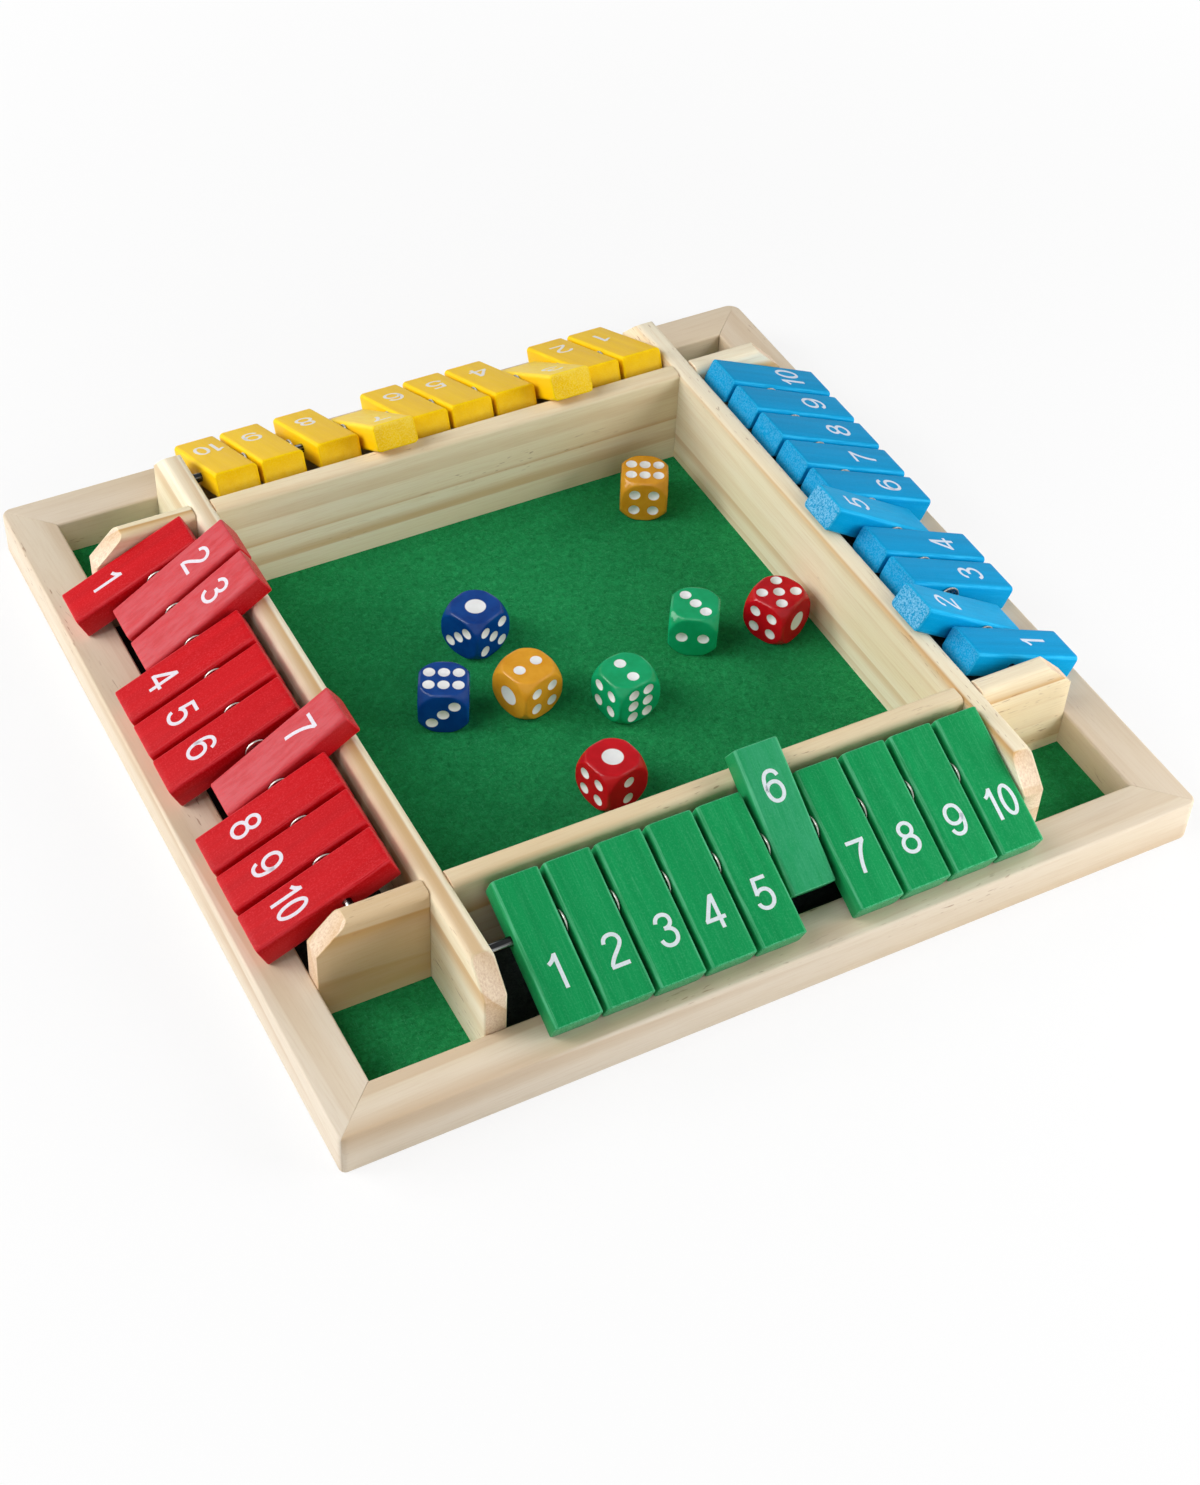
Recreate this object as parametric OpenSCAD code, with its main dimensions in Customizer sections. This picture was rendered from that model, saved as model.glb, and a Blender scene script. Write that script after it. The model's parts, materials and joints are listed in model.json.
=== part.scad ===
// Shut the box for four players: a square wooden tray with a felt dice floor in
// the middle, ten hinged number tiles along each side, and a felt pocket in each
// corner. Each row of tiles turns on its own steel rod.
// Millimetres, +Z up, origin in the middle of the underside, green row towards -Y.

/* [Tiles] */
// Length of a number tile
tile_l = 44.6; // [42:0.1:46]
// Width of a number tile, along its rod
tile_w = 14.6; // [13:0.1:15]
// Thickness of a number tile
tile_t = 9; // [8:0.25:9.5]
// Rod to the blunt end of the tile
tail_l = 16.5; // [15:0.25:18]
// Radius on the four long edges of a tile
tile_edge_r = 1.9; // [1:0.1:2.5]
// Chamfer across each end of a tile
tile_end_chamfer = 0.5; // [0.2:0.1:1]
// Tiles in a row
tiles_per_row = 10; // [10]

/* [Rods and washers] */
// Diameter of the steel rods
rod_d = 3; // [2.5:0.25:3.5]
// Height of the rods' axis above the table
rod_z = 30.6; // [29:0.1:31.5]
// How deep a rod's end sits in the wood
rod_seat = 4.5; // [3:0.25:5.5]
// Clearance around the rod in a tile's bore, on the radius
bore_clearance = 0.075; // [0.03:0.005:0.1]
// Outside diameter of a spacer washer
washer_d = 7; // [6:0.25:8]
// Thickness of a spacer washer
washer_t = 1.1; // [0.8:0.1:2]
// Play between a washer and a tile
side_play = 0.19; // [0.1:0.01:0.3]
// Play between a row's last tile and the wood
end_play = 0.4; // [0.3:0.05:0.6]
// Spare length that a row of tiles can slide along its rod
row_slack = 8.68; // [8:0.02:11]

/* [Outer frame] */
// Width of the four outer rails
rail_w = 15; // [14:0.5:18]
// Height of the four outer rails
rail_h = 15; // [14:0.25:15.5]
// Radius on the frame's upright corners
corner_r = 3.5; // [1:0.5:6]
// Eased edge along the rails
rail_ease = 0.6; // [0.2:0.1:1.5]
// Where a closed tile rests, in from the rail's inner face
tile_rest = 8.5; // [8:0.25:10]
// Thickness of the base board
board_t = 2; // [2:0.25:3]
// How far the base board goes in under the rails
board_lap = 5; // [3:0.5:7]

/* [Dividers] */
// Height of the dividers' top edge above the table
wall_h = 38; // [37:0.25:39]
// Thickness of the dividers
divider_t = 7; // [7:0.25:9]
// Radius along the dividers' top edges
divider_edge_r = 2; // [1:0.1:3]
// Size of the slanting cut at a divider's free end
end_cut = 9.5; // [6:0.5:12]
// Room between a tile's swinging blunt end and the divider
swing_clear = 2; // [1.5:0.1:4]
// Daylight between a resting tile and the wood that stops it
stop_gap = 0.25; // [0.2:0.05:0.4]

/* [Linings] */
// Thickness of the green felt
felt_t = 0.6; // [0.4:0.1:1]
// Thickness of the black lining under the tiles
lining_t = 0.4; // [0.3:0.1:0.6]

/* [Dice] */
// Side of a die
die_s = 16; // [14:0.5:16]
// Radius of the ball that rounds a die's corners
die_ball_r = 11; // [10.8:0.1:12]
// Depth of a die's dimpled pips
pip_depth = 0.7; // [0.2:0.05:0.9]
// Diameter of a pip
pip_d = 3.9; // [3:0.1:4]
// Diameter of the single pip on the one
one_pip_d = 6.9; // [5:0.1:7]

/* [Hidden] */
$fn = 64;
TILE_NUMBERS = [1 : tiles_per_row];

// A row: name, colour, turn about Z, shut tiles, share of the slack before
// tile 1, last tile before the extra gap, and the extra gap's share of the slack.
ROWS = [
    ["green", [0.13, 0.58, 0.36], 0, [6], 1, 0, 0],
    ["blue", [0.10, 0.60, 0.82], 90, [2, 5], 0.546, 2, 0.454],
    ["yellow", [0.92, 0.74, 0.20], 180, [3, 7], 0.076, 8, 0.429],
    ["red", [0.82, 0.14, 0.18], -90, [2, 3, 7], 0.14, 0, 0]
];

// A die: name, colour, place on the floor as shares of its half side, the turn
// that brings its upper face up, and the turn about Z.
DICE = [
    ["die_red_1", [0.71, 0.12, 0.15], [-0.144, -0.598], [0, 0, 0], 12.2],
    ["die_red_2", [0.71, 0.12, 0.15], [0.845, -0.095], [90, 0, 0], 24],
    ["die_blue_1", [0.05, 0.24, 0.48], [-0.242, 0.327], [0, 0, 0], -158.3],
    ["die_blue_2", [0.05, 0.24, 0.48], [-0.517, 0.023], [180, 0, 0], -116.9],
    ["die_green_1", [0.13, 0.59, 0.36], [0.112, -0.225], [-90, 0, 0], 8.3],
    ["die_green_2", [0.13, 0.59, 0.36], [0.523, -0.015], [0, -90, 0], -33],
    ["die_amber_1", [0.76, 0.55, 0.16], [-0.207, -0.046], [-90, 0, 0], 106],
    ["die_amber_2", [0.76, 0.55, 0.16], [0.729, 0.770], [180, 0, 0], 61.2]
];

// A die's faces: the turn that brings +Z onto the face, the pips' places on it
// and the pips' diameter. Opposite faces add up to seven.
FACES = [
    [[0, 0, 0], [[0, 0]], one_pip_d],
    [[90, 0, 0], [for (v = [-1, 1]) [0, 0.216 * v]], pip_d],
    [[0, 90, 0], [for (v = [-1 : 1]) [-0.219 * v, 0.219 * v]], pip_d],
    [[0, -90, 0], [for (u = [-1, 1], v = [-1, 1]) [0.2 * u, 0.2 * v]], pip_d],
    [[-90, 0, 0], concat([[0, 0]], [for (u = [-1, 1], v = [-1, 1]) [0.244 * u, 0.244 * v]]), pip_d],
    [[180, 0, 0], [for (u = [-1, 1], v = [-1 : 1]) [0.172 * u, 0.288 * v]], pip_d]
];

// Along a row
pitch = tile_w + washer_t + 2 * side_play;
row_len = tiles_per_row * tile_w + (tiles_per_row - 1) * (pitch - tile_w) + row_slack;
floor_half = row_len / 2;
free_slack = row_slack - 2 * end_play;

// Across a row: the closed tile's tilt, then from the floor's edge out to the rim
head_l = tile_l - tail_l;
swing_r = sqrt(pow(tail_l, 2) + pow(tile_t / 2, 2));
corner_reach = sqrt(pow(head_l - tile_end_chamfer, 2) + pow(tile_t / 2, 2));
corner_angle = atan(tile_t / 2 / (head_l - tile_end_chamfer));
shut_drop = rod_z - rail_h - stop_gap;
closed_tilt = asin(shut_drop / corner_reach) - corner_angle;
divider_out = floor_half + divider_t;
divider_mid = floor_half + divider_t / 2;
rod_out = divider_out + swing_r + swing_clear;
rail_in = rod_out + corner_reach * cos(closed_tilt + corner_angle) - tile_rest;
rail_out = rail_in + rail_w;

// The flipped tile leans on the divider's rounded top edge
edge_across = rod_out - divider_out + divider_edge_r;
edge_up = wall_h - divider_edge_r - rod_z;
edge_reach = sqrt(pow(edge_across, 2) + pow(edge_up, 2));
flipped_rise = atan(edge_up / edge_across)
    + asin((tile_t / 2 + divider_edge_r + stop_gap) / edge_reach);
flip_travel = 180 - flipped_rise + closed_tilt;
echo(closed_tilt=closed_tilt, flip_travel=flip_travel, rod_out=rod_out, rail_out=rail_out,
    floor_half=floor_half);

function tile_name(row, n) = str(row[0], "_tile_", n);

// Where tile n's middle is along its row, from the middle of the row
function tile_at(row, n) = -floor_half + end_play + free_slack * row[4] + tile_w / 2
    + (n - 1) * pitch + (row[5] > 0 && n > row[5] ? free_slack * row[6] : 0);

function is_flipped(row, n) = len(search(n, row[3])) > 0;

module wood() color([0.90, 0.82, 0.70]) children();

module steel() color([0.45, 0.46, 0.48]) children();

// A rounded rectangle, centred
module rounded_rect(width, height, r) {
    square([width - 2 * r, height], center = true);
    square([width, height - 2 * r], center = true);
    for (x = [-1, 1], y = [-1, 1])
        translate([x * (width / 2 - r), y * (height / 2 - r)]) circle(r);
}

// Lays an outline drawn in Y and Z along X, centred
module along_x(length) rotate([90, 0, 90]) linear_extrude(length, center = true) children();

// Lays an outline drawn in X and Z along Y, centred
module along_y(length) rotate([90, 0, 0]) linear_extrude(length, center = true) children();

// Turns a row's own frame, with its rod along X, to its side of the tray
module at_row(row) rotate([0, 0, row[2]]) translate([0, -rod_out, rod_z]) children();

module base_board() {
    side = 2 * (rail_in + board_lap);
    wood() translate([0, 0, board_t / 2]) cube([side, side, board_t], center = true);
}

// One mitred rail, rebated below for the base board; front rail at turn 0
module frame_rail(turn) {
    outline = [
        [-rail_out, rail_ease],
        [-rail_out + rail_ease, 0],
        [-rail_in - board_lap, 0],
        [-rail_in - board_lap, board_t],
        [-rail_in, board_t],
        [-rail_in, rail_h - rail_ease],
        [-rail_in - rail_ease, rail_h],
        [-rail_out + rail_ease, rail_h],
        [-rail_out, rail_h - rail_ease]
    ];
    far = rail_out + 1;
    wood() rotate([0, 0, turn]) intersection() {
        along_x(2 * rail_out) polygon(outline);
        linear_extrude(rail_h) polygon([[0, 0], [-far, -far], [far, -far]]);
        linear_extrude(rail_h) rounded_rect(2 * rail_out, 2 * rail_out, corner_r);
    }
}

module frame_rail_front() frame_rail(0);
module frame_rail_right() frame_rail(90);
module frame_rail_back() frame_rail(180);
module frame_rail_left() frame_rail(-90);

// A divider's end view, standing on the base board, with rounded top edges
module divider_outline() {
    r = divider_edge_r;
    shoulder = wall_h - board_t - r;
    translate([-divider_t / 2, board_t]) square([divider_t, shoulder]);
    translate([r - divider_t / 2, board_t]) square([divider_t - 2 * r, shoulder + r]);
    for (x = [-1, 1])
        translate([x * (divider_t / 2 - r), wall_h - r]) circle(r);
}

// Side view of a wall from a to b, with the slanting cut at the ends that are free
module cut_profile(a, b, cut_a, cut_b)
    polygon([
        [a, board_t],
        [b, board_t],
        [b, wall_h - cut_b],
        [b - cut_b, wall_h],
        [a + cut_a, wall_h],
        [a, wall_h - cut_a]
    ]);

// The seat for a rod's end, on a wall's inner face, with the rod along X
module rod_seat_hole() rotate([0, 90, 0]) cylinder(h = 2 * rod_seat, d = rod_d, center = true);

module long_dividers() wood()
    for (side = [-1, 1]) difference() {
        translate([side * divider_mid, 0, 0]) intersection() {
            along_y(2 * rail_in) divider_outline();
            along_x(divider_t) cut_profile(-rail_in, rail_in, end_cut, end_cut);
        }
        for (end = [-1, 1])
            translate([side * floor_half, end * rod_out, rod_z]) rod_seat_hole();
    }

module cross_dividers() wood()
    for (side = [-1, 1]) translate([0, side * divider_mid, 0])
        rotate([0, 0, 90]) along_y(row_len) divider_outline();

// Leaves a piece on the +X side, or turns it half round to the -X side
module turned_to(side) rotate([0, 0, side > 0 ? 0 : 180]) children();

module bay_end_walls() wood()
    for (side = [-1, 1], end = [-1, 1]) turned_to(side) difference() {
        translate([0, end * divider_mid, 0]) intersection() {
            rotate([0, 0, 90]) along_y(2 * rail_in) divider_outline();
            rotate([0, 0, -90]) along_x(divider_t) cut_profile(divider_out, rail_in, 0, end_cut);
        }
        translate([rod_out, end * floor_half, rod_z]) rotate([0, 0, 90]) rod_seat_hole();
    }

module green_felt() {
    pocket = rail_in - divider_out;
    color([0.10, 0.42, 0.25]) translate([0, 0, board_t]) {
        translate([-floor_half, -floor_half, 0]) cube([row_len, row_len, felt_t]);
        for (turn = [0, 90, 180, 270]) rotate([0, 0, turn])
            translate([divider_out, divider_out, 0]) cube([pocket, pocket, felt_t]);
    }
}

module bay_linings()
    color([0.07, 0.09, 0.09])
        for (row = ROWS) rotate([0, 0, row[2]])
            translate([-floor_half, -rail_in, board_t])
                cube([row_len, rail_in - divider_out, lining_t]);

module pivot_rods() steel()
    for (row = ROWS) at_row(row)
        rotate([0, 90, 0]) cylinder(h = row_len + 2 * rod_seat, d = rod_d, center = true);

// One washer between each two tiles, close to the next tile
module spacer_washers() steel()
    for (row = ROWS) at_row(row)
        for (n = [2 : tiles_per_row])
            translate([tile_at(row, n) - tile_w / 2 - side_play - washer_t / 2, 0, 0])
                rotate([0, 90, 0]) difference() {
                    cylinder(h = washer_t, d = washer_d, center = true);
                    cylinder(h = 2 * washer_t, r = rod_d / 2 + bore_clearance, center = true);
                }

// A number tile about its rod, lying flat with the number end towards -Y
module tile_blank() {
    top = tile_t / 2;
    c = tile_end_chamfer;
    side_view = [
        [-head_l, c - top],
        [c - head_l, -top],
        [tail_l - c, -top],
        [tail_l, c - top],
        [tail_l, top - c],
        [tail_l - c, top],
        [c - head_l, top],
        [-head_l, top - c]
    ];
    difference() {
        intersection() {
            along_y(2 * head_l) rounded_rect(tile_w, tile_t, tile_edge_r);
            along_x(tile_w) polygon(side_view);
        }
        rotate([0, 90, 0])
            cylinder(h = 2 * tile_w, r = rod_d / 2 + bore_clearance, center = true);
    }
}

module number_tile(row, n)
    color(row[1]) at_row(row) translate([tile_at(row, n), 0, 0])
        rotate([closed_tilt - (is_flipped(row, n) ? flip_travel : 0), 0, 0]) tile_blank();

// A die about its middle, one up, three towards +X, two towards -Y
module die_blank() difference() {
    intersection() {
        cube(die_s, center = true);
        sphere(die_ball_r);
    }
    for (face = FACES, place = face[1]) {
        dimple_r = (pow(face[2] / 2, 2) + pow(pip_depth, 2)) / (2 * pip_depth);
        rotate(face[0])
            translate([place[0] * die_s, place[1] * die_s, die_s / 2 - pip_depth + dimple_r])
                sphere(dimple_r);
    }
}

module game_die(die)
    color(die[1])
        translate([die[2][0] * floor_half, die[2][1] * floor_half, board_t + felt_t + die_s / 2])
            rotate([0, 0, die[4]]) rotate(die[3]) die_blank();

base_board();
frame_rail_front();
frame_rail_right();
frame_rail_back();
frame_rail_left();
long_dividers();
cross_dividers();
bay_end_walls();
green_felt();
bay_linings();
pivot_rods();
spacer_washers();
for (row = ROWS, n = TILE_NUMBERS)
    number_tile(row, n);
for (die = DICE)
    game_die(die);
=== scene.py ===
# %% [markdown]
# # A shut the box game for four players
# The real thing is a square softwood tray. Forty painted number tiles turn on
# four steel rods, one row to a side, and eight dice roll on a felt floor.
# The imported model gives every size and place. This script gives each piece its
# eased edges, its paint or grain, and its numbers.

# %% The frame
import json
import math
import bpy
import numpy as np
from mathutils import Euler, Matrix, Vector


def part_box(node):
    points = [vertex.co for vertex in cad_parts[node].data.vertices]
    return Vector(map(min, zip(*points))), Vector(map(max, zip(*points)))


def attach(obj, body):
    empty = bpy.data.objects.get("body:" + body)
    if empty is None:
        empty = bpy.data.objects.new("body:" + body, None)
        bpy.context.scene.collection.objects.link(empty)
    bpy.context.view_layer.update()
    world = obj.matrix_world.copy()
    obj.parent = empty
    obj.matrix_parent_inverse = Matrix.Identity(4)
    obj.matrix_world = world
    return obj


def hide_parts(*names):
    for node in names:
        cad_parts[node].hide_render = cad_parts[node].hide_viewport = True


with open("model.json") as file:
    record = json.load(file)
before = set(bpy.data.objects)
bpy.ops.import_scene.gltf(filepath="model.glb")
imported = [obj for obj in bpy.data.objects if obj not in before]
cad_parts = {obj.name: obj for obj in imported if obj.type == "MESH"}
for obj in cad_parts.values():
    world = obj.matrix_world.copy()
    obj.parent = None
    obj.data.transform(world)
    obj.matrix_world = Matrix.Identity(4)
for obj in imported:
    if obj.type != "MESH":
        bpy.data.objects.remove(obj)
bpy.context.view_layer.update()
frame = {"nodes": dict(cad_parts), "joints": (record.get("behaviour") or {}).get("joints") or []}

MM = 0.001

# %% [markdown]
# ## Sizes
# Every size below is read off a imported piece, so the dressed pieces stay where
# the bare ones are. Only what the bare pieces don't say is a number of its own.

# %% Sizes read off the frame
RAIL_LOW, RAIL_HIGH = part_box("frame_rail_front")
CROSS_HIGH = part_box("cross_dividers")[1]
BOARD_LOW, BOARD_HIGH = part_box("base_board")
FELT_LOW, FELT_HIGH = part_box("green_felt")
LINING_LOW, LINING_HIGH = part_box("bay_linings")
ROD_LOW, ROD_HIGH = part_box("pivot_rods")
WASHER_LOW, WASHER_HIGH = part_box("spacer_washers")
HALF = -RAIL_LOW.y                 # middle of the tray to its outer face
RAIL_IN = -RAIL_HIGH.y             # middle of the tray to a rail's inner face
RAIL_TOP = RAIL_HIGH.z
FLOOR_HALF = CROSS_HIGH.x          # half the side of the dice floor
DIVIDER_OUT = CROSS_HIGH.y         # the dividers' outer faces
WALL_TOP = CROSS_HIGH.z
BOARD_TOP = BOARD_HIGH.z
DIVIDER_T = DIVIDER_OUT - FLOOR_HALF
ROD_Z = (ROD_LOW.z + ROD_HIGH.z) / 2
ROD_R = (ROD_HIGH.z - ROD_LOW.z) / 2
ROD_OUT = ROD_HIGH.x - ROD_R       # middle of the tray to a rod's axis
print("floor half", round(FLOOR_HALF / MM, 2), "rod out", round(ROD_OUT / MM, 2))

# %% [markdown]
# ## Making meshes from arrays
# A piece of this game is almost always one outline carried along a path: a
# rail, a divider, a tile, a rod. So the basic shape here is a stack of rings,
# with the same number of points in each. Modelling by hand with extrude and
# bevel would also do, but a stack of rings keeps every radius a plain number.

# %% Faces for a stack of rings
def ring_faces(rings, around, capped=True, closed=False):
    """Quads between each two rings, point k to point k + 1, and a face across each end."""
    turn = rings if closed else rings - 1
    ring, point = np.meshgrid(np.arange(turn), np.arange(around), indexing="ij")
    after, up = (point + 1) % around, (ring + 1) % rings
    quads = np.stack([ring * around + point, ring * around + after,
                      up * around + after, up * around + point], -1)
    faces = quads.reshape(-1, 4).tolist()
    if capped:
        faces.append(list(range(around))[::-1])
        faces.append([(rings - 1) * around + k for k in range(around)])
    return faces


def signed_volume(points, faces):
    """Sum of the corner tetrahedra of each face's fan; it is negative inside out."""
    total = 0.0
    for size in sorted({len(face) for face in faces}):
        fans = points[np.array([face for face in faces if len(face) == size])]
        total += np.einsum("ijk,ik->", np.cross(fans[:, 1:-1], fans[:, 2:]), fans[:, 0])
    return total / 6


print("two rings of four points make", len(ring_faces(2, 4)), "faces, a box")

# %% One maker for every piece
def make_piece(name, points, faces, material, sharp=28):
    """A closed mesh with outward faces, smooth where faces meet at less than `sharp` degrees."""
    points = np.asarray(points, float).reshape(-1, 3)
    if signed_volume(points, faces) < 0:
        faces = [face[::-1] for face in faces]
    mesh = bpy.data.meshes.new(name)
    mesh.from_pydata(points.tolist(), [], faces)
    mesh.shade_smooth()
    mesh.set_sharp_from_angle(angle=math.radians(sharp))
    mesh.materials.append(material)
    piece = bpy.data.objects.new(name, mesh)
    bpy.context.scene.collection.objects.link(piece)
    return piece


def seat(piece, body, slot, *nodes):
    """Ties a finished piece to its body and hides the bare nodes that it stands for; its finish, `slot`, is not
    used.
    """
    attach(piece, body)
    if nodes:
        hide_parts(*nodes)
    return piece


def keep_vectors(piece, name, values):
    """Stores one vector per point, for a material to read."""
    layer = piece.data.attributes.new(name, "FLOAT_VECTOR", "POINT")
    layer.data.foreach_set("vector", np.asarray(values, np.float32).reshape(-1))


def keep_numbers(piece, name, values):
    """Stores one number per point, for a material to read."""
    layer = piece.data.attributes.new(name, "FLOAT", "POINT")
    layer.data.foreach_set("value", np.asarray(values, np.float32).reshape(-1))


def turned(points, degrees, shift=(0, 0, 0)):
    """Points turned about Z, then shifted."""
    c, s = math.cos(math.radians(degrees)), math.sin(math.radians(degrees))
    spin = np.array([[c, s, 0], [-s, c, 0], [0, 0, 1]])
    return np.asarray(points) @ spin + np.asarray(shift)


print("a quarter turn takes X to", turned([1, 0, 0], 90).round(3).tolist())

# %% [markdown]
# ## Talking to the shader nodes
# A material is a small graph. These helpers add a node, set its values and
# link its sockets in one line, so that each finish below reads top to bottom.

# %% Node helpers
def srgb(red, green, blue):
    """A colour as a screen shows it, 0 to 255, turned into the shader's linear light."""
    c = np.array([red, green, blue]) / 255
    linear = np.where(c <= 0.04045, c / 12.92, ((c + 0.055) / 1.055) ** 2.4)
    return (*linear.tolist(), 1.0)


def new_material(name, **settings):
    """A material with one Principled shader, and that shader's plain values."""
    material = bpy.data.materials.new(name)
    material.use_nodes = True
    shader = material.node_tree.nodes["Principled BSDF"]
    for socket, value in settings.items():
        shader.inputs[socket.replace("_", " ")].default_value = value
    return material, material.node_tree, shader


def plug(tree, socket, value):
    """Links a socket to a socket, or sets it to a value."""
    if isinstance(value, bpy.types.NodeSocket):
        tree.links.new(value, socket)
    else:
        socket.default_value = value


def add(tree, kind, inputs, **settings):
    """Adds a node, sets its properties, then plugs its inputs."""
    node = tree.nodes.new(kind)
    for key, value in settings.items():
        setattr(node, key, value)
    for key, value in inputs.items():
        plug(tree, node.inputs[key], value)
    return node


def stretched(tree, vector, scale, shift=(0, 0, 0)):
    """The same coordinates, scaled by a different amount each way."""
    return add(tree, "ShaderNodeMapping", {"Vector": vector, "Scale": scale, "Location": shift}).outputs[0]


def noise(tree, vector, scale=1.0, detail=3.0, rough=0.55, warp=0.0):
    """Cloudy noise from 0 to 1, mostly near a half."""
    return add(tree, "ShaderNodeTexNoise", {
        "Vector": vector, "Scale": scale, "Detail": detail,
        "Roughness": rough, "Distortion": warp}).outputs[0]


def ranged(tree, value, low, high, out_low=0.0, out_high=1.0):
    """Stretches low..high to out_low..out_high and cuts off the rest."""
    return add(tree, "ShaderNodeMapRange", {
        "Value": value, "From Min": low, "From Max": high,
        "To Min": out_low, "To Max": out_high}).outputs[0]


def maths(tree, operation, a, b=0.0):
    """One sum of two numbers or sockets."""
    return add(tree, "ShaderNodeMath", {0: a, 1: b}, operation=operation).outputs[0]


def mixed(tree, factor, a, b, blend="MIX"):
    """Two colours mixed by a factor."""
    node = add(tree, "ShaderNodeMix", {}, data_type="RGBA", blend_type=blend)
    for socket, value in ((node.inputs[0], factor), (node.inputs[6], a), (node.inputs[7], b)):
        plug(tree, socket, value)
    return node.outputs[2]


def bumped(tree, height, distance, strength=1.0, under=None):
    """A normal tilted by a height, in metres when strength is 1."""
    inputs = {"Height": height, "Distance": distance, "Strength": strength}
    if under is not None:
        inputs["Normal"] = under
    return add(tree, "ShaderNodeBump", inputs).outputs[0]


def read(tree, name):
    """Reads an attribute that a piece keeps."""
    return add(tree, "ShaderNodeAttribute", {}, attribute_name=name)


print("half grey on a screen is", round(srgb(128, 128, 128)[0], 3), "in the shader")

# %% [markdown]
# ## Bare softwood
# The tray is pale plantation pine, sanded and left bare. Its look comes from
# the board it was cut out of: long growth bands, fine fibres along the grain,
# a few short brown flecks, and ends that show the bands cut across as dots.
# Painting it on each face would not meet at the corners. Instead each piece
# keeps `grain`, its points in a board's own axes with X along the fibres, and
# the material is solid wood through and through. Some pieces are a little
# darker, so each piece also has a `tone`; on the front left bay end, which
# stands deep in its pocket, that darkening is partly painted shade.

# %% Softwood
def softwood(name, pale, warm, late, year, contrast):
    """Year rings about the board's X axis: pale spring wood warms to a tan line, then starts again."""
    material, tree, shader = new_material(name, Specular_IOR_Level=0.2)
    grain = read(tree, "grain").outputs["Vector"]
    rings = add(tree, "ShaderNodeTexWave", {
        "Vector": stretched(tree, grain, (0.05, 1.0, 1.0)), "Scale": 0.05 * 2 * math.pi / year,
        "Distortion": 3.2, "Detail": 2.0, "Detail Scale": 0.3, "Detail Roughness": 0.5},
        wave_type="RINGS", rings_direction="X", wave_profile="SAW").outputs["Fac"]
    strong = noise(tree, stretched(tree, grain, (1.2, 85.0, 85.0)), detail=1.0)
    strong = ranged(tree, strong, 0.44, 0.64, 0.1, contrast)
    line = maths(tree, "MULTIPLY", ranged(tree, rings, 0.35, 0.92), ranged(tree, rings, 1.0, 0.95))
    clouds = noise(tree, stretched(tree, grain, (5.0, 45.0, 45.0)), detail=2.0)
    fibres = noise(tree, stretched(tree, grain, (60.0, 1700.0, 1700.0)), detail=3.0, rough=0.6)
    tone = read(tree, "tone").outputs["Fac"]
    spring, summer = mixed(tree, tone, pale, late), mixed(tree, tone, warm, late)
    colour = mixed(tree, ranged(tree, clouds, 0.38, 0.64), spring, summer)
    colour = mixed(tree, maths(tree, "MULTIPLY", line, strong), colour, late)
    colour = mixed(tree, ranged(tree, fibres, 0.45, 0.8, 0.0, 0.25), colour, late)
    groups = ranged(tree, noise(tree, stretched(tree, grain, (9.0, 60.0, 60.0)), detail=1.0), 0.56, 0.64)
    fleck = noise(tree, stretched(tree, grain, (220.0, 1300.0, 1300.0)), detail=1.0)
    fleck = maths(tree, "MULTIPLY", ranged(tree, fleck, 0.66, 0.73, 0.0, 0.6), groups)
    colour = mixed(tree, fleck, colour, srgb(150, 108, 78))
    dots = noise(tree, stretched(tree, grain, (300.0, 1700.0, 1700.0)), detail=2.0, rough=0.7)
    cut = mixed(tree, ranged(tree, dots, 0.35, 0.7), srgb(244, 222, 196), srgb(214, 180, 152))
    cut = mixed(tree, maths(tree, "MULTIPLY", line, 0.4), cut, late)
    colour = mixed(tree, maths(tree, "MULTIPLY", read(tree, "end").outputs["Fac"], 0.8), colour, cut)
    plug(tree, shader.inputs["Base Color"], colour)
    plug(tree, shader.inputs["Roughness"], ranged(tree, fibres, 0.3, 0.7, 0.5, 0.68))
    plug(tree, shader.inputs["Normal"], bumped(tree, fibres, 0.05 * MM, 0.4))
    return material


rail_wood = softwood("rail_wood", srgb(227, 214, 195), srgb(221, 205, 180), srgb(196, 166, 130),
                     9 * MM, 0.8)
divider_wood = softwood("divider_wood", srgb(244, 235, 211), srgb(238, 224, 190), srgb(202, 160, 104),
                        8 * MM, 1.0)
print("two cuts of softwood")

# %% [markdown]
# ## Moulded lengths
# Rails and dividers are both a section that a moulder has planed, cut to
# length. The ends are not always square: a rail is mitred and a divider's free
# end is cut on the slant. Carrying every point of the section from its own
# start to its own end gives all of these with one formula.

# %% A section carried from end to end
def moulding(section, start, end, steps, ease=0.15 * MM):
    """Each section point runs along start + t (end - start), drawn in by a quarter circle at both ends."""
    quarter = np.radians(np.linspace(0, 90, 4))
    length = np.abs(end - start).max()
    first = ease * (1 - np.cos(quarter)) / length
    t = np.concatenate([first, first[-1] + (1 - 2 * first[-1]) * steps[1:-1], 1 - first[::-1]])
    inset = np.zeros(len(t))
    inset[:4] = inset[-4:][::-1] = ease * (1 - np.sin(quarter))
    middle = (section.min(0) + section.max(0)) / 2
    scale = 1 - 2 * inset[:, None] / np.ptp(section, axis=0)
    along = start + t[:, None] * (end - start)
    across = middle + scale[:, None] * (section - middle)
    return np.concatenate([along[..., None], across], -1)


def even_steps(count):
    """Shares of the length from 0 to 1."""
    return np.linspace(0, 1, count)


def arc(centre, radius, first, last, count=7):
    """Points on a circle, from one angle to another in degrees."""
    angle = np.radians(np.linspace(first, last, count))
    return np.stack([centre[0] + radius * np.cos(angle), centre[1] + radius * np.sin(angle)], -1)


print("an arc from 0 to 90 degrees ends at", arc((0, 0), 1, 0, 90)[-1].round(3).tolist())

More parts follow.
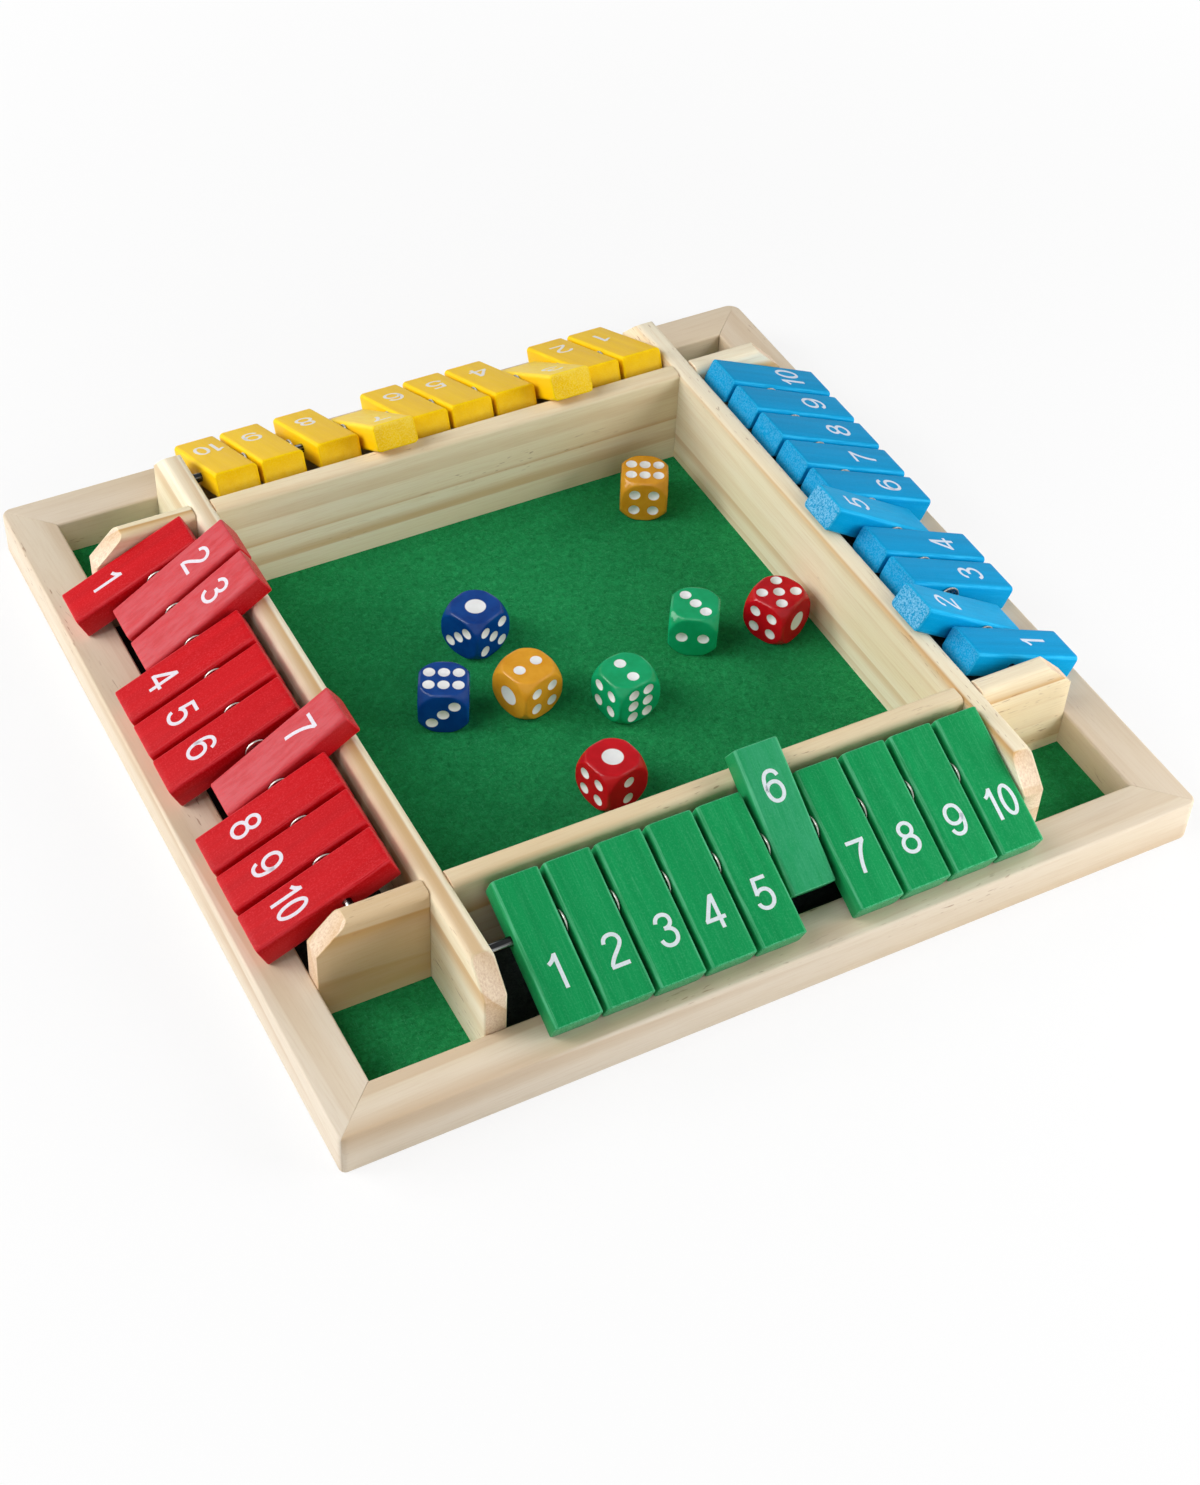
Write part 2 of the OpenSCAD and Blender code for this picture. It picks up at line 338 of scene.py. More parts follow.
# %% Wooden pieces from a moulding
rng = np.random.default_rng(7)
LOG = np.array([1.0, 0.07, 0.07])  # how far along and across a log its pieces may come from
# the front left bay end's tone is partly a browner board and partly painted shade of its deep pocket
TONES = {"cross_divider_front": 0.28, "cross_divider_back": 0.1, "bay_end_front_left": 0.6,
         "bay_end_front_right": 0.12, "long_divider_right": 0.05, "rail_right": 0.16, "rail_back": 0.1}


def cap_rows(first, around, back=False):
    """Closes an end whose section is the same left and right, one level strip at a time."""
    k = np.arange(around // 2 - 1)
    rows = np.stack([k, k + 1, around - 2 - k, around - 1 - k], -1) + first
    return (rows if back else rows[:, ::-1]).tolist()


def wooden(name, rings, degrees, shift, material, nodes, paired_caps=False):
    """A moulded length laid in the tray, sawn from its own place in the log and a little off the fibres."""
    count, around, _ = rings.shape
    faces = ring_faces(count, around, capped=not paired_caps)
    if paired_caps:
        faces += cap_rows(0, around) + cap_rows((count - 1) * around, around, True)
    piece = make_piece(name, turned(rings.reshape(-1, 3), degrees, shift), faces, material)
    grain = rings + rng.uniform(-1, 1, 3) * LOG
    grain[..., 1:] += rings[..., :1] * rng.normal(0, 0.03, 2)
    keep_vectors(piece, "grain", grain)
    keep_numbers(piece, "tone", np.full(count * around, TONES.get(name, 0.0)))
    ends = np.zeros((count, around))
    ends[[0, -1]] = 1
    keep_numbers(piece, "end", ends)
    return seat(piece, "tray", "pale_wood", *nodes)


print(len(TONES), "pieces are of darker wood than the rest")

# %% [markdown]
# ## The outer frame
# Four rails meet in mitres. On the real tray a mitre shows as a fine dark line,
# because both ends are eased a hair before gluing, and the upright corners are
# rounded after. A square outline pushed onto a round one does that: near a
# corner, each square ring becomes a quarter circle about the same middle.

# %% Rail section and corners
RAIL_EASE = 0.9 * MM
CORNER_R = np.array([2.0, 3.5, 4.5, 3.5]) * MM   # sanded by hand: front left, then anticlockwise


def rail_section(ease=RAIL_EASE, foot=0.5 * MM):
    """Across and up: an outer foot, the two eased top edges, and the rebate for the base board."""
    return np.concatenate([
        arc((-HALF + foot, foot), foot, 270, 180, 4),
        arc((-HALF + ease, RAIL_TOP - ease), ease, 180, 90),
        arc((-RAIL_IN - ease, RAIL_TOP - ease), ease, 90, 0),
        [[-RAIL_IN, BOARD_TOP], [BOARD_LOW.y, BOARD_TOP], [BOARD_LOW.y, 0.0]],
    ])


def rounded_corner(rings, near, far):
    """Past a corner's middle, both ways, the larger step becomes the distance: a square turns into an arc."""
    radius = np.where(rings[..., 0] < 0, near, far)[..., None]
    middle = HALF - radius
    step = np.abs(rings[..., :2]) - middle
    inside = (step > 0).all(-1, keepdims=True)
    scale = step.max(-1, keepdims=True) / np.maximum(np.linalg.norm(step, axis=-1, keepdims=True), 1e-9)
    moved = np.sign(rings[..., :2]) * (middle + step * scale)
    rings[..., :2] = np.where(inside, moved, rings[..., :2])
    return rings


print("corner radii", (CORNER_R / MM).tolist(), "mm")

# %% The four rails
near_end = np.linspace(0, 1, 12) * max(CORNER_R) / (2 * HALF)
rail_steps = np.concatenate([near_end, np.linspace(near_end[-1], 0.5, 12)[1:]])
rail_steps = np.concatenate([rail_steps, 1 - rail_steps[-2::-1]])
section = rail_section()
reach = np.abs(section[:, 0])
for turn, name in enumerate(("front", "right", "back", "left")):
    rings = moulding(section, -reach, reach, rail_steps)
    rings = rounded_corner(rings, CORNER_R[turn], CORNER_R[(turn + 1) % 4])
    wooden(f"rail_{name}", rings, 90 * turn, (0, 0, 0), rail_wood, [f"frame_rail_{name}"])
print("rails with", len(section), "points in the section")

# %% [markdown]
# ## Dividers
# The walls inside the tray are planed from one strip with both top edges
# rounded over. The long pair runs from rail to rail and has slanting free ends,
# the cross pair is cut square between them, and four short ones close the ends
# of the left and right bays.

# %% Divider section and its ends
END_CUT = 9.5 * MM                 # slanting cut at a divider's free end
DIVIDER_EDGE = 2.0 * MM            # radius along a divider's top edges


def divider_section():
    """Up one side, over the rounded top and down the other, in level pairs."""
    shoulder = WALL_TOP - DIVIDER_EDGE
    side = DIVIDER_T / 2
    levels = np.array([BOARD_TOP, BOARD_TOP + 0.5 * MM, RAIL_TOP, WALL_TOP - END_CUT])
    right = np.concatenate([
        np.stack([np.full(4, side), levels], -1),
        arc((side - DIVIDER_EDGE, shoulder), DIVIDER_EDGE, 0, 90, 8)])
    return np.concatenate([right, right[::-1] * [-1, 1]])


def cut_back(section):
    """How far the slanting cut takes each level back: its height above the cut's foot."""
    return np.maximum(section[:, 1] - (WALL_TOP - END_CUT), 0)


print("a divider's section is", (np.ptp(divider_section(), axis=0) / MM).round(1).tolist(), "mm")

# %% Long dividers, cross dividers and bay end walls
section = divider_section()
whole = np.ones(len(section))
slant = cut_back(section)
divider_mid = FLOOR_HALF + DIVIDER_T / 2
for side, name in ((-1, "left"), (1, "right")):
    rings = moulding(section, -RAIL_IN * whole + slant, RAIL_IN * whole - slant, even_steps(30), 0.7 * MM)
    wooden(f"long_divider_{name}", rings, 90, (side * divider_mid, 0, 0),
           divider_wood, ["long_dividers"], True)
for side, name in ((-1, "front"), (1, "back")):
    rings = moulding(section, -FLOOR_HALF * whole, FLOOR_HALF * whole, even_steps(20), 0.05 * MM)
    wooden(f"cross_divider_{name}", rings, 0, (0, side * divider_mid, 0),
           divider_wood, ["cross_dividers"], True)
for side, left_right in ((-1, "left"), (1, "right")):
    for end, front_back in ((-1, "front"), (1, "back")):
        rings = moulding(section, DIVIDER_OUT * whole, RAIL_IN * whole - slant, even_steps(8), 0.4 * MM)
        wooden(f"bay_end_{front_back}_{left_right}", rings, 0 if side > 0 else 180,
               (0, end * divider_mid, 0), divider_wood, ["bay_end_walls"], True)
print("eight dividers")

# %% [markdown]
# ## Base board
# The bottom is a thin sheet of board in a rebate. It is only seen from below.
# The bare node has the right shape, so it stays and only gets a finish. It has
# no `grain` of its own, so its material reads object coordinates.

# %% Board
def thin_board():
    """Faint long streaks over a flat tan face."""
    material, tree, shader = new_material("thin_board", Roughness=0.7)
    place = add(tree, "ShaderNodeTexCoord", {}).outputs["Object"]
    streaks = noise(tree, stretched(tree, place, (12.0, 420.0, 420.0)), detail=4.0, rough=0.65, warp=0.4)
    fine = noise(tree, stretched(tree, place, (150.0, 2500.0, 900.0)), detail=2.0)
    colour = mixed(tree, ranged(tree, streaks, 0.3, 0.7), srgb(224, 200, 164), srgb(196, 163, 120))
    colour = mixed(tree, ranged(tree, fine, 0.4, 0.8, 0, 0.3), colour, srgb(168, 130, 92))
    plug(tree, shader.inputs["Base Color"], colour)
    plug(tree, shader.inputs["Normal"], bumped(tree, fine, 0.04 * MM, 0.5))
    return material


board = frame["nodes"]["base_board"].data
board.materials.clear()
board.materials.append(thin_board())
print("the board is", round((BOARD_TOP - BOARD_LOW.z) / MM, 1), "mm thick")

# %% [markdown]
# ## Felt and the black lining
# Pressed felt is a mat of short fibres lying every way, so up close its colour
# and its height both wander over about a millimetre. It is glued down, so each
# panel is a flat sheet with edges that the knife has pressed down a little.

# %% Felt material
def pressed_felt(name, light, dark, fibre):
    """Swathes of nap brushed two ways, mottle a few millimetres across, and fine crossing fibres."""
    material, tree, shader = new_material(name, Roughness=0.95, Specular_IOR_Level=0.05)
    place = add(tree, "ShaderNodeTexCoord", {}).outputs["Object"]
    nap = noise(tree, stretched(tree, place, (26.0, 48.0, 26.0)), detail=3.0, rough=0.6, warp=1.5)
    mottle = noise(tree, place, 620.0, 4.0, 0.75, 0.8)
    one = noise(tree, stretched(tree, place, (700.0, 3000.0, 900.0)), detail=2.0, warp=1.2)
    two = noise(tree, stretched(tree, place, (3000.0, 700.0, 900.0)), detail=2.0, warp=1.2)
    hairs = maths(tree, "MAXIMUM", one, two)
    colour = mixed(tree, ranged(tree, mottle, 0.34, 0.66), dark, light)
    colour = mixed(tree, ranged(tree, nap, 0.42, 0.66, 0.0, 0.28), colour, dark)
    colour = mixed(tree, ranged(tree, hairs, 0.56, 0.78, 0.0, 0.5), colour, fibre)
    plug(tree, shader.inputs["Base Color"], colour)
    low = bumped(tree, mottle, 0.5 * MM, 0.8)
    plug(tree, shader.inputs["Normal"], bumped(tree, hairs, 0.12 * MM, 0.7, low))
    return material


green_felt = pressed_felt("green_felt", srgb(38, 154, 88), srgb(20, 112, 61), srgb(76, 182, 122))
black_flock = pressed_felt("black_flock", srgb(70, 80, 80), srgb(50, 60, 60), srgb(92, 104, 104))
print("two felts")

# %% Panels
def panel(name, x0, x1, y0, y1, bottom, top, material, slot, nodes):
    """A grid whose height dips to the knife-cut edge and wanders by a few hundredths of a millimetre."""
    nx, ny = (max(8, int((b - a) / (2.5 * MM))) for a, b in ((x0, x1), (y0, y1)))
    u, v = np.meshgrid(np.linspace(0, 1, nx), np.linspace(0, 1, ny), indexing="ij")
    x, y = x0 + u * (x1 - x0), y0 + v * (y1 - y0)
    inset = np.minimum.reduce([x - x0, x1 - x, y - y0, y1 - y])
    dip = 0.12 * MM * np.exp(-inset / (0.8 * MM))
    wander = 0.02 * MM * (1 + np.sin(x * 310 + 2 * np.sin(y * 170)) * np.cos(y * 270 + 1.3))
    upper = np.stack([x, y, top - dip - wander], -1)
    lower = np.stack([x, y, np.full_like(x, bottom)], -1)
    points = np.concatenate([upper.reshape(-1, 3), lower.reshape(-1, 3)])
    return panel_faces(name, points, nx, ny, material, slot, nodes)


def panel_faces(name, points, nx, ny, material, slot, nodes):
    """Top quads, the same quads below turned over, and a wall round the rim."""
    i, j = np.meshgrid(np.arange(nx - 1), np.arange(ny - 1), indexing="ij")
    corner = i * ny + j
    quads = np.stack([corner, corner + ny, corner + ny + 1, corner + 1], -1).reshape(-1, 4)
    rim = np.concatenate([
        np.arange(nx) * ny, (nx - 1) * ny + np.arange(1, ny),
        np.arange(nx - 2, -1, -1) * ny + ny - 1, np.arange(ny - 2, 0, -1)])
    after = np.roll(rim, -1)
    wall = np.stack([rim, rim + nx * ny, after + nx * ny, after], -1)
    faces = quads.tolist() + (quads[:, ::-1] + nx * ny).tolist() + wall.tolist()
    piece = make_piece(name, points, faces, material, 60)
    return seat(piece, "tray", slot, *nodes)


print("the felt is", round((FELT_HIGH.z - FELT_LOW.z) / MM, 1), "mm thick")

# %% Lay the felt and the linings
felt_sides = {"felt_floor": (-FLOOR_HALF, FLOOR_HALF, -FLOOR_HALF, FLOOR_HALF)}
for x_name, x_side in (("left", -1), ("right", 1)):
    for y_name, y_side in (("front", -1), ("back", 1)):
        xs = sorted([x_side * DIVIDER_OUT, x_side * RAIL_IN])
        ys = sorted([y_side * DIVIDER_OUT, y_side * RAIL_IN])
        felt_sides[f"felt_pocket_{y_name}_{x_name}"] = (*xs, *ys)
for name, (x0, x1, y0, y1) in felt_sides.items():
    felt = panel(name, x0, x1, y0, y1, FELT_LOW.z, FELT_HIGH.z,
                 green_felt, "green_felt", ["green_felt"])
run = (-FLOOR_HALF, FLOOR_HALF)
for name, side, wide in (("front", -1, True), ("back", 1, True), ("left", -1, False), ("right", 1, False)):
    depth = sorted([side * DIVIDER_OUT, side * RAIL_IN])
    edges = (*run, *depth) if wide else (*depth, *run)
    panel(f"lining_{name}", *edges, LINING_LOW.z, LINING_HIGH.z,
          black_flock, "black_lining", ["bay_linings"])
print(len(felt_sides), "felt panels and four linings")

# %% [markdown]
# ## Number tiles
# A tile is a strip of painted wood with rounded long edges, bored near one end
# for the rod. The paint is thin: the grain still shows through as fine ridges
# along the tile, it pools darker in dips and wears paler on the edges, where the
# paler colour is also a painted highlight. Each tile keeps its own `grain`, with
# `edge` near 1 on the rounded edges, `end` at 1 where the saw cut, and `back` at
# 1 on the face that lies down, which is painted paler as sheen for when a flipped
# tile turns it up.

# %% Paint material
def tile_paint(name, colour, worn_and_highlit, deep, back, shine, speckle, dotting):
    """Thin satin paint: streaks along the grain, dried specks, a back face painted paler as sheen, and edges
    painted paler for wear and highlight.
    """
    material, tree, shader = new_material(name, Specular_IOR_Level=shine)
    grain = read(tree, "grain").outputs["Vector"]
    edge = read(tree, "edge").outputs["Fac"]
    ends = read(tree, "end").outputs["Fac"]
    ridges = noise(tree, stretched(tree, grain, (90.0, 2000.0, 2000.0)), detail=3.0, rough=0.65)
    streaks = noise(tree, stretched(tree, grain, (14.0, 260.0, 260.0)), detail=2.0, warp=0.3)
    specks = noise(tree, grain, 1900.0, 2.0, 0.7)
    base = mixed(tree, ranged(tree, streaks, 0.3, 0.7), colour, deep)
    uneven = noise(tree, stretched(tree, grain, (120.0, 500.0, 500.0)), detail=3.0, rough=0.7)
    uneven = ranged(tree, uneven, 0.36, 0.6, 0.55, 1.0)
    # painted sheen: the back face is mixed towards the paler back colour, as a flipped tile's face catching the
    # light
    base = mixed(tree, maths(tree, "MULTIPLY", read(tree, "back").outputs["Fac"], uneven), base, back)
    base = mixed(tree, ranged(tree, ridges, 0.5, 0.75, 0.0, 0.14), base, worn_and_highlit)
    base = mixed(tree, ranged(tree, specks, 0.5, 0.72, 0.0, speckle), base, worn_and_highlit)
    # wear and painted highlight: the rounded edges are mixed towards the paler edge colour
    rubbed_and_highlit = maths(tree, "MULTIPLY", ranged(tree, edge, 0.55, 1.0), ranged(tree, ridges, 0.38, 0.6, 0.1, 0.6))
    base = mixed(tree, rubbed_and_highlit, base, worn_and_highlit)
    dotted = maths(tree, "MULTIPLY", ends, ranged(tree, specks, 0.42, 0.6, 0.0, dotting))
    primer = mixed(tree, 0.25, worn_and_highlit, srgb(255, 255, 255))
    plug(tree, shader.inputs["Base Color"], mixed(tree, dotted, base, primer))
    plug(tree, shader.inputs["Roughness"], ranged(tree, ridges, 0.3, 0.7, 0.32, 0.46))
    rough = bumped(tree, ridges, 0.06 * MM, 0.6)
    height = maths(tree, "MULTIPLY", specks, maths(tree, "ADD", ends, 0.3))
    plug(tree, shader.inputs["Normal"], bumped(tree, height, 0.12 * MM, 0.7, rough))
    return material


PAINTS = {                         # fresh colour, edge colour for wear and painted highlight, pooled colour and a back colour painted paler as sheen, then shine, specks and end dots
    "red": (srgb(200, 3, 16), srgb(222, 66, 74), srgb(184, 4, 16), srgb(200, 82, 88), 0.12, 0.42, 0.25),
    "green": (srgb(20, 147, 82), srgb(104, 198, 152), srgb(14, 134, 73), srgb(48, 152, 102), 0.1, 0.14, 0.25),
    "blue": (srgb(0, 154, 212), srgb(60, 192, 240), srgb(0, 144, 200), srgb(18, 166, 220), 0.03, 0.12, 0.7),
    "yellow": (srgb(248, 202, 4), srgb(255, 226, 30), srgb(240, 190, 2), srgb(250, 216, 76), 0.07, 0.1, 0.25),
}
paints = {colour: tile_paint(f"{colour}_paint", *values) for colour, values in PAINTS.items()}
print("paints:", ", ".join(paints))

# %% Where a tile stands
NEARLY_FURTHEST = 0.97             # the share of a tile's reach beyond which a corner is at its number end
hinges = {joint["child"]: joint for joint in frame["joints"] if joint["type"] == "hinge"}


def tile_axes(joint):
    """Rows are the unit ways along the tile to its number end, across it, and out of its front face."""
    rod = np.array(joint["pos_m"])
    turn = np.array(joint["axis"], float)
    corners = np.array([v.co for v in frame["nodes"][joint["child"]].data.vertices]) - rod
    from_rod = np.linalg.norm(corners - np.outer(corners @ turn, turn), axis=1)
    far = corners[from_rod > NEARLY_FURTHEST * from_rod.max()].mean(0)
    along = far - (far @ turn) * turn
    along /= np.linalg.norm(along)
    front = np.cross(turn, along)
    axes = np.array([along, np.cross(front, along), front])
    local = corners @ axes.T
    return rod, axes, local.min(0), local.max(0)


print(len(hinges), "hinges")

# %% Tile shape
TILE_EDGE = 1.4 * MM               # radius along a tile's long edges
END_EASE = 0.5 * MM
EDGE_WEAR_AND_HIGHLIGHT = 2.4                         # the higher, the wider the paler band of an edge, rubbed and painted highlight


def rounded_ring(half_wide, half_high, radius, count=6):
    """A rectangle with quarter circles for corners."""
    corners = [(1, 1, 0), (-1, 1, 90), (-1, -1, 180), (1, -1, 270)]
    return np.concatenate([
        arc((x * (half_wide - radius), y * (half_high - radius)), radius, start, start + 90, count)
        for x, y, start in corners])


def tile_rings(low, high):
    """The rounded rectangle carried along the tile, drawn in along a quarter circle at each end."""
    quarter = np.radians(np.linspace(0, 90, 5))
    inward = END_EASE * (1 - np.sin(quarter))
    back = END_EASE * (1 - np.cos(quarter))
    between = np.linspace(low[0] + 2 * MM, high[0] - 2 * MM, 9)
    stations = np.concatenate([low[0] + back, between, high[0] - back[::-1]])
    inset = np.concatenate([inward, np.zeros(len(between)), inward[::-1]])
    rings = []
    for station, shy in zip(stations, inset):
        ring = rounded_ring(high[1] - shy, high[2] - shy, TILE_EDGE)
        rings.append(np.column_stack([np.full(len(ring), station), ring]))
    return np.array(rings)


def edge_amount(rings, high):
    """0 on the flats to 1 in a rounded corner, by how far out a point is both ways, and 1 round an end."""
    wide = 1 - (high[1] - np.abs(rings[..., 1])) / TILE_EDGE
    tall = 1 - (high[2] - np.abs(rings[..., 2])) / TILE_EDGE
    amount = np.clip(EDGE_WEAR_AND_HIGHLIGHT * np.clip(wide, 0, 1) * np.clip(tall, 0, 1), 0, 1)
    # the pale line round each end is partly wear and partly painted highlight
    amount[[1, 2, 3, -4, -3, -2]] = 1
    return amount


print("tile edges are rounded", round(TILE_EDGE / MM, 1), "mm")

# %% Lay the forty tiles
APART = {"red": (6, 1.0 * MM)}     # a row that stands apart after this tile, and how far each half has slid
tiles = {}
for body, joint in hinges.items():
    colour, number = body.split("_tile_")
    rod, axes, low, high = tile_axes(joint)
    last, slid = APART.get(colour, (10, 0.0))
    row = np.subtract(hinges[f"{colour}_tile_10"]["pos_m"], hinges[f"{colour}_tile_1"]["pos_m"])
    rod = rod + row / np.linalg.norm(row) * (slid if int(number) > last else -slid)
    rings = tile_rings(low, high)
    faces = ring_faces(*rings.shape[:2])
    tile = make_piece(f"{colour}_{number}", rings.reshape(-1, 3) @ axes + rod, faces, paints[colour], 40)
    keep_vectors(tile, "grain", rings + rng.uniform(-1, 1, 3))
    keep_numbers(tile, "edge", edge_amount(rings, high))
    ends = np.zeros(rings.shape[:2])
    ends[0], ends[-1] = 0.25, 1    # the number end was cut last and took the paint worst
    keep_numbers(tile, "end", ends)
    deep = -rings[..., 2] / high[2]                          # 1 on the back face
    keep_numbers(tile, "back", np.clip(3 * deep - 1.8, 0, 1))
    seat(tile, body, f"{colour}_paint", body)
    tiles[body] = (rod, axes, low, high)
print(len(tiles), "tiles, each", np.round((high - low) / MM, 2), "mm")

# %% [markdown]
# ## The numbers
# The numbers are printed in white on both faces, so that a tile reads from its
# own side of the tray whichever way it lies. A font would do, but a sign
# painter's way is shorter: each numeral is one to three strokes of a flat pen,
# and a stroke is a ribbon of even width about a curve.

# %% Pen strokes
PEN = 1.16 * MM
UP, DOWN = 4.5, -4.5               # a numeral's top and foot, in millimetres from its middle


def curve(*points):
    """Cubic curves end to end, each between every third point and pulled by the two between."""
    knots = np.array(points, float)
    t = np.linspace(0, 1, 13)[:, None]
    spans = []
    for k in range(0, len(knots) - 1, 3):
        a, b, c, d = knots[k:k + 4]
        spans.append((1 - t) ** 3 * a + 3 * (1 - t) ** 2 * t * b + 3 * (1 - t) * t ** 2 * c + t ** 3 * d)
    return np.concatenate([spans[0], *[span[1:] for span in spans[1:]]])


def oval(x, y, wide, high):
    """A closed stroke: the first point comes again at the end."""
    angle = np.linspace(0, 2 * np.pi, 41)
    return np.column_stack([x + wide * np.cos(angle), y + high * np.sin(angle)])


# %% The ten numerals
six = curve((2.25, 2.65), (1.9, 3.9), (1.2, UP), (0.1, UP), (-1.8, UP), (-2.5, 2.4), (-2.5, -0.3),
            (-2.5, -3.0), (-1.6, DOWN), (0.1, DOWN), (1.5, DOWN), (2.45, -3.2), (2.45, -1.6),
            (2.45, 0.1), (1.5, 1.2), (0.1, 1.2), (-1.2, 1.2), (-2.25, 0.2), (-2.45, -1.2))
one = [np.array([(0.8, -5.15), (0.8, 5.15)]), curve((0.7, 4.75), (0.2, 3.7), (-0.7, 2.95), (-1.75, 2.5))]
NUMERALS = {
    "1": one,
    "2": [curve((-2.35, 2.4), (-2.25, 3.9), (-1.2, UP), (0.05, UP), (1.4, UP), (2.35, 3.6), (2.35, 2.3),
                (2.35, 0.4), (-1.7, -1.5), (-2.45, -4.3)), [(-2.85, DOWN), (2.75, DOWN)]],
    "3": [curve((-2.3, 2.5), (-2.05, 3.8), (-1.2, UP), (-0.1, UP), (1.2, UP), (2.05, 3.7), (2.05, 2.5),
                (2.05, 1.2), (1.0, 0.5), (-0.5, 0.5)),
          curve((-0.5, 0.5), (1.3, 0.5), (2.45, -0.5), (2.45, -1.9), (2.45, -3.5), (1.3, DOWN), (-0.1, DOWN),
                (-1.3, DOWN), (-2.2, -3.8), (-2.5, -2.4))],
    "4": [[(1.25, -5.15), (1.25, 5.15)], [(-2.75, -2.2), (1.0, 4.75)], [(-3.2, -2.1), (3.0, -2.1)]],
    "5": [[(-1.65, UP), (2.4, UP)], [(-1.35, 5.0), (-1.95, -0.2)],
          curve((-2.1, -0.15), (-1.4, 0.8), (-0.7, 1.15), (0.15, 1.15), (1.6, 1.15), (2.45, 0.0), (2.45, -1.55),
                (2.45, -3.3), (1.3, DOWN), (-0.1, DOWN), (-1.4, DOWN), (-2.3, -3.7), (-2.5, -2.5))],
    "6": [six],
    "7": [[(-2.9, UP), (2.95, UP)], curve((2.45, 4.3), (0.8, 2.5), (-0.7, -0.9), (-0.95, -5.15))],
    "8": [oval(0, 2.45, 2.05, 2.05), oval(0, -2.05, 2.45, 2.45)],
    "9": [-six],
    "10": [stroke * (0.85, 1) - (3.15, 0) for stroke in one] + [oval(2.1, 0, 1.95, UP)],
}
print(sum(len(strokes) for strokes in NUMERALS.values()), "strokes in", len(NUMERALS), "numerals")

# %% A stroke as a thin solid
PRINT_T = 0.02 * MM
PRINT_STEP = 0.008 * MM            # each stroke stands this much above the last


def pen_stroke(path, layer):
    """Half a pen to either side along the path's normals, in rings of four that reach into the tile."""
    step = np.gradient(path, axis=0)
    looped = np.allclose(path[0], path[-1])
    if looped:
        step[[0, -1]] = path[1] - path[-2]
        path, step = path[:-1], step[:-1]
    side = np.column_stack([-step[:, 1], step[:, 0]]) / np.linalg.norm(step, axis=1)[:, None] * PEN / 2
    top = np.full((len(path), 1), PRINT_T + layer * PRINT_STEP)
    left, right = path + side, path - side
    rings = np.stack([np.hstack([left, top]), np.hstack([right, top]),
                      np.hstack([right, -top]), np.hstack([left, -top])], 1)
    return rings.reshape(-1, 3), ring_faces(len(path), 4, capped=not looped, closed=looped)


def numeral(number):
    """All the strokes of a number as one mesh, each a hair above the last where they cross."""
    points, faces, count = [], [], 0
    for layer, stroke in enumerate(NUMERALS[number]):
        solid, quads = pen_stroke(np.asarray(stroke) * MM, layer)
        points.append(solid)
        faces += [[corner + count for corner in quad] for quad in quads]
        count += len(solid)
    return np.concatenate(points), faces


print("a 10 has", len(numeral("10")[1]), "faces")

# %% White print
def white_print(name, under):
    """A thin coat that lets the paint under it and its fine ridges through."""
    material, tree, shader = new_material(name, Roughness=0.5, Specular_IOR_Level=0.2)
    place = add(tree, "ShaderNodeTexCoord", {}).outputs["Object"]
    thin = noise(tree, place, 1500.0, 3.0, 0.65)
    colour = mixed(tree, ranged(tree, thin, 0.35, 0.75, 0.08, 0.26), srgb(230, 234, 243), under)
    plug(tree, shader.inputs["Base Color"], colour)
    plug(tree, shader.inputs["Normal"], bumped(tree, thin, 0.03 * MM, 0.5))
    return material


prints = {colour: white_print(f"print_on_{colour}", values[0]) for colour, values in PAINTS.items()}
print(len(prints), "whites, one over each paint")

# %% Print both faces of every tile
FRONT_CENTRE = 13.4 * MM           # from the rod to the middle of the front number
BACK_CENTRE = 14.8 * MM
SHIFTED = {"green_tile_2": 1.2 * MM, "green_tile_3": 1.2 * MM}   # printed off the middle
for body, (rod, axes, low, high) in tiles.items():
    colour, number = body.split("_tile_")
    flat, faces = numeral(number)
    across = flat[:, 0] + SHIFTED.get(body, rng.normal(0, 0.2 * MM))
    for side, centre in ((1, FRONT_CENTRE), (-1, BACK_CENTRE)):
        local = np.column_stack([centre - side * flat[:, 1], across, side * (high[2] + flat[:, 2])])
        word = "front" if side > 0 else "back"
        digits = make_piece(f"{colour}_{number}_{word}_number", local @ axes + rod, faces, prints[colour], 40)
        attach(digits, body)
print("numbers on", len(tiles), "tiles")

# %% [markdown]
# ## Rods and washers
# Each row turns on one polished rod pressed into the walls at both ends, with
# thin washers between the tiles. The rod came through a drawing die, which leaves
# fine streaks along it; in its colour they are painted as pale and dark
# reflections, and its near-black colour is painted shade, the dark surroundings
# it reflects. The washers are stamped, so their rims are rounded.

# %% Steel
def polished_steel(name, colour, streak_reflection, rough):
    """Steel from a drawing die: streaks along `grain` X, painted into the colour as pale and dark reflections,
    with fine scratches in the roughness.
    """
    material, tree, shader = new_material(name, Metallic=1.0)
    grain = read(tree, "grain").outputs["Vector"]
    reflection_streaks = noise(tree, stretched(tree, grain, (30.0, 1100.0, 1100.0)), detail=2.0)
    plug(tree, shader.inputs["Base Color"], mixed(tree, ranged(tree, reflection_streaks, 0.46, 0.6), colour, streak_reflection))
    scratches = noise(tree, grain, 900.0, 3.0, 0.6)
    plug(tree, shader.inputs["Roughness"], ranged(tree, scratches, 0.3, 0.7, rough, rough + 0.15))
    plug(tree, shader.inputs["Normal"], bumped(tree, scratches, 0.01 * MM, 0.4))
    return material


# painted shade and reflection: the rod's near-black colour stands for the dark it reflects, and its pale
# streaks, like the washers' two tones, for reflected light
steel = polished_steel("steel", srgb(42, 43, 44), srgb(160, 162, 160), 0.14)
washer_steel = polished_steel("washer_steel", srgb(168, 165, 158), srgb(196, 194, 188), 0.2)
print("two steels")

